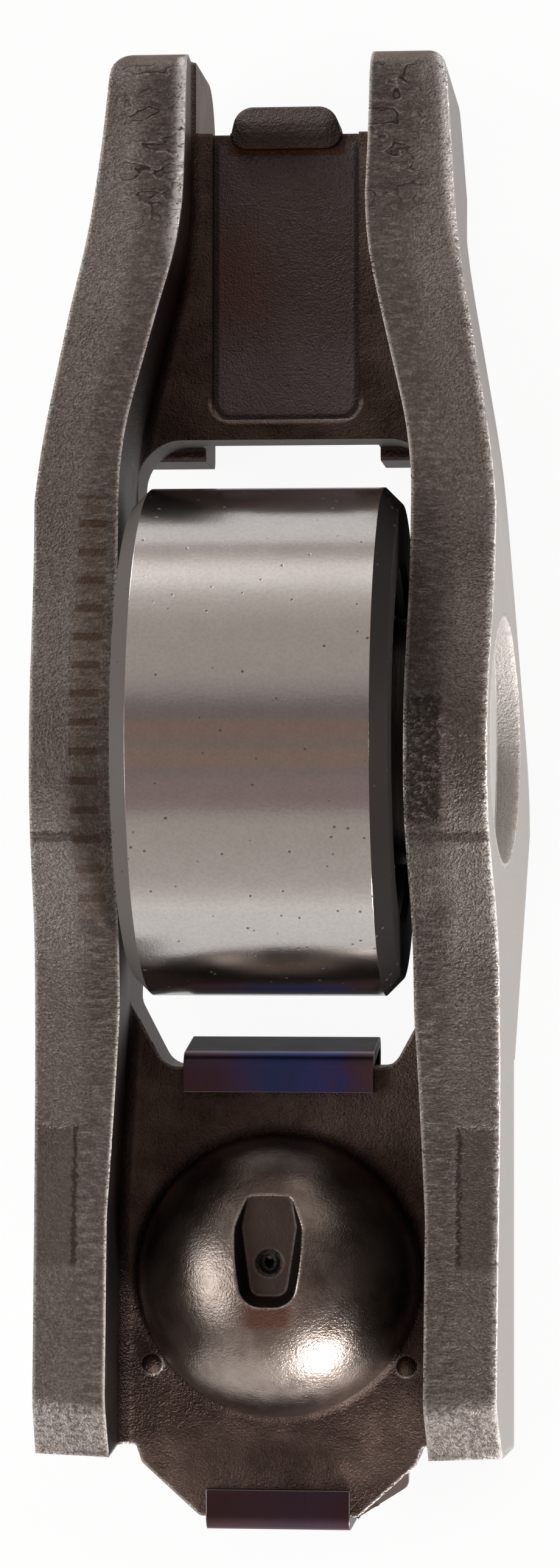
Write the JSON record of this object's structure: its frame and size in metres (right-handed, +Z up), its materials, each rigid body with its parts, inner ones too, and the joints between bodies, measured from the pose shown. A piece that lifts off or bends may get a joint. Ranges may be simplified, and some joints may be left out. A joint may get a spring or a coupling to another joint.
{
  "type": "roller finger follower rocker arm",
  "caption": "Stamped steel roller finger follower: drawn ball socket with retaining clip, needle-bearing cam roller on a staked axle, and a valve pad between guide flanges.",
  "frame": {"origin": "centre of the ball that the socket sits on", "axes": "+X along the roller axle, +Y from the ball socket towards the valve end, +Z up towards the cam side; the arm is in the attitude in which it lies on a flat surface"},
  "size_m": [0.0168, 0.0509, 0.0184],
  "materials": {
    "stamped_steel": "tumbled, heat treated, dark oil film",
    "axle_steel": "ground, staked ends",
    "ground_steel": "ground",
    "needle_steel": "superfinished",
    "blued_spring_steel": "tempered blue and purple"
  },
  "bodies": {
    "lever": {"lever_body": "stamped_steel", "axle_pin": "axle_steel", "retaining_clip": "blued_spring_steel"},
    "roller": {"roller_ring": "ground_steel"},
    "needles": {"needle_01": "needle_steel", "needle_02": "needle_steel", "needle_03": "needle_steel", "needle_04": "needle_steel", "needle_05": "needle_steel", "needle_06": "needle_steel", "needle_07": "needle_steel", "needle_08": "needle_steel", "needle_09": "needle_steel", "needle_10": "needle_steel", "needle_11": "needle_steel", "needle_12": "needle_steel", "needle_13": "needle_steel", "needle_14": "needle_steel", "needle_15": "needle_steel", "needle_16": "needle_steel", "needle_17": "needle_steel"}
  },
  "joints": [
    {"name": "roller_spin", "type": "hinge", "parent": "lever", "child": "roller", "pos_m": [0, 0.01749, 0.00583], "axis": [1, 0, 0], "continuous": true},
    {"name": "needle_orbit", "type": "hinge", "parent": "lever", "child": "needles", "pos_m": [0, 0.01749, 0.00583], "axis": [1, 0, 0], "continuous": true}
  ],
  "couplings": [
    {"joint": "needle_orbit", "follows": "roller_spin", "ratio": 0.59123}
  ]
}
